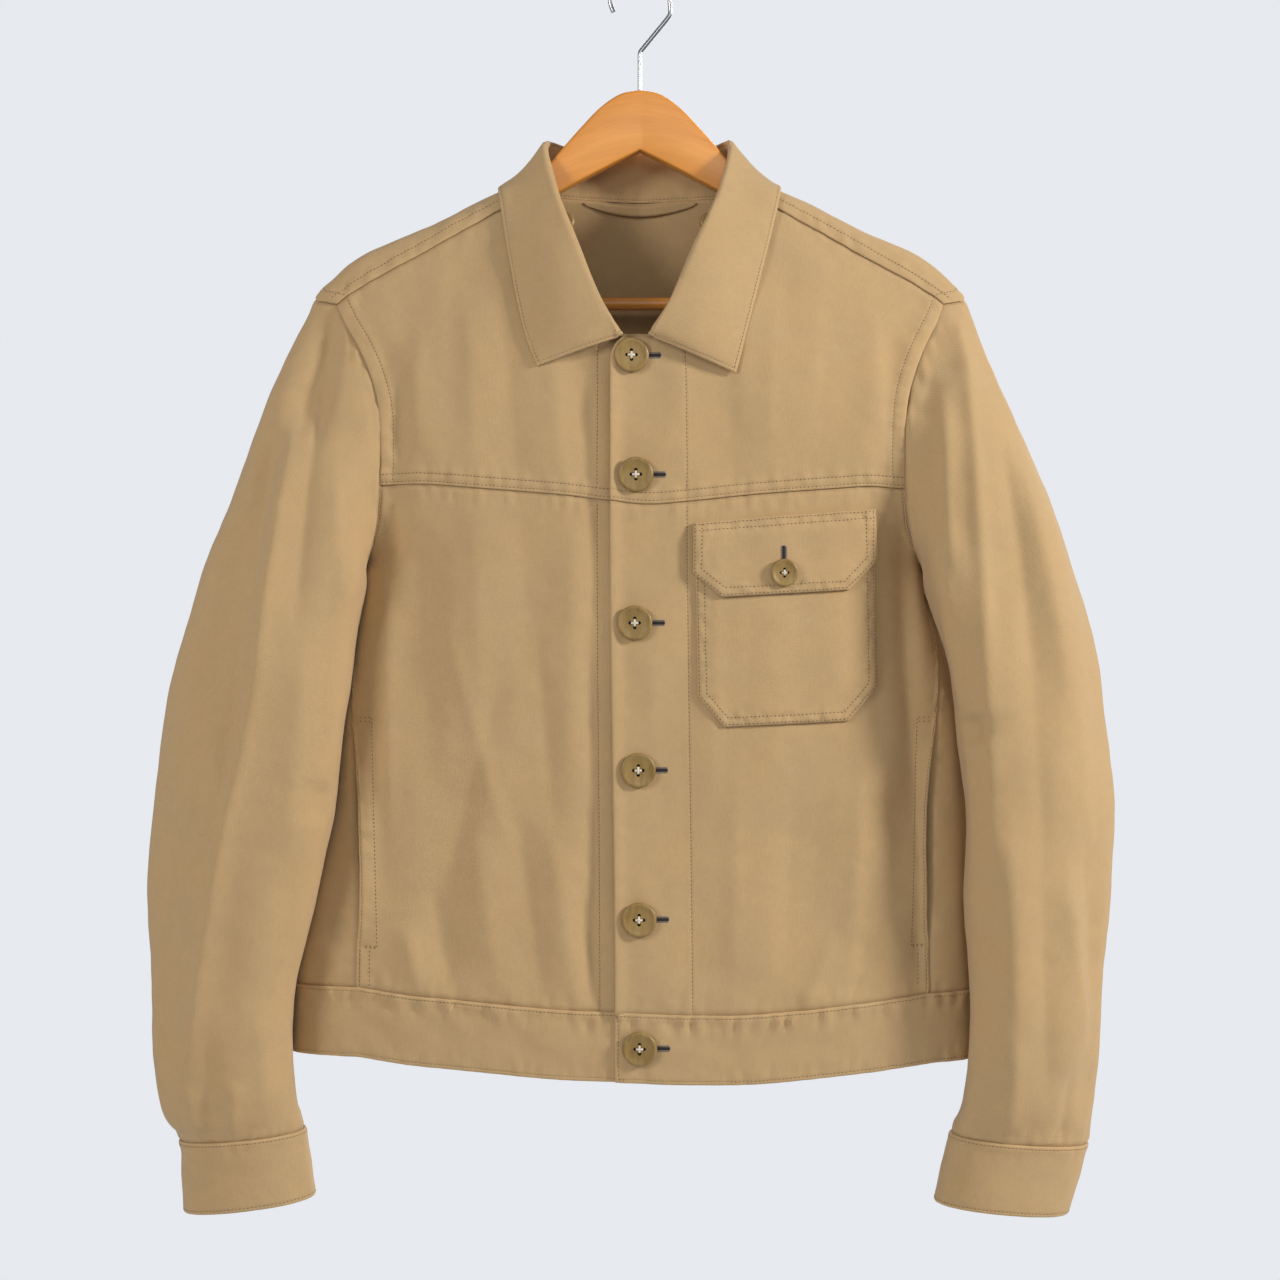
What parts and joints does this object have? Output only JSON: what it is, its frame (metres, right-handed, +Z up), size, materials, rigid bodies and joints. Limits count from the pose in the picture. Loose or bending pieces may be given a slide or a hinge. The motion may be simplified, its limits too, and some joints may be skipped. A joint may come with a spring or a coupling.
{
  "type": "jacket on a wooden hanger",
  "caption": "Waist-length cotton twill jacket with a turn-down collar, chest pocket, cuffs and waistband, buttoned up on a wooden hanger with a wire hook.",
  "frame": {"origin": "inside top of the hanger's hook, where it hangs on a rail or peg", "axes": "+Z up; the jacket's front faces -Y; +X is the wearer's left"},
  "size_m": [0.6647, 0.1197, 0.8673],
  "materials": {
    "twill": "matte cotton twill",
    "horn": "satin, horn-like resin",
    "wood": "clear satin lacquer",
    "wire": "bright plated steel wire"
  },
  "bodies": {
    "root": {"yoke_back": "twill", "yoke_front_right": "twill", "yoke_front_left": "twill", "front_right": "twill", "front_left": "twill", "back": "twill", "waistband": "twill", "sleeve_top_right": "twill", "sleeve_top_left": "twill", "sleeve_under_right": "twill", "sleeve_under_left": "twill", "cuff_right": "twill", "cuff_left": "twill", "collar_stand": "twill", "collar_leaf": "twill", "chest_pocket": "twill", "chest_flap": "twill", "pocket_facing_right": "twill", "pocket_facing_left": "twill", "hanging_loop": "twill", "button_front_1": "horn", "button_front_2": "horn", "button_front_3": "horn", "button_front_4": "horn", "button_front_5": "horn", "button_front_6": "horn", "button_pocket": "horn", "button_cuff_right": "horn", "button_cuff_left": "horn", "button_neck_right": "horn", "button_neck_left": "horn", "hanger_wood": "wood", "hanger_bar": "wood", "hanger_hook": "wire"}
  },
  "joints": []
}
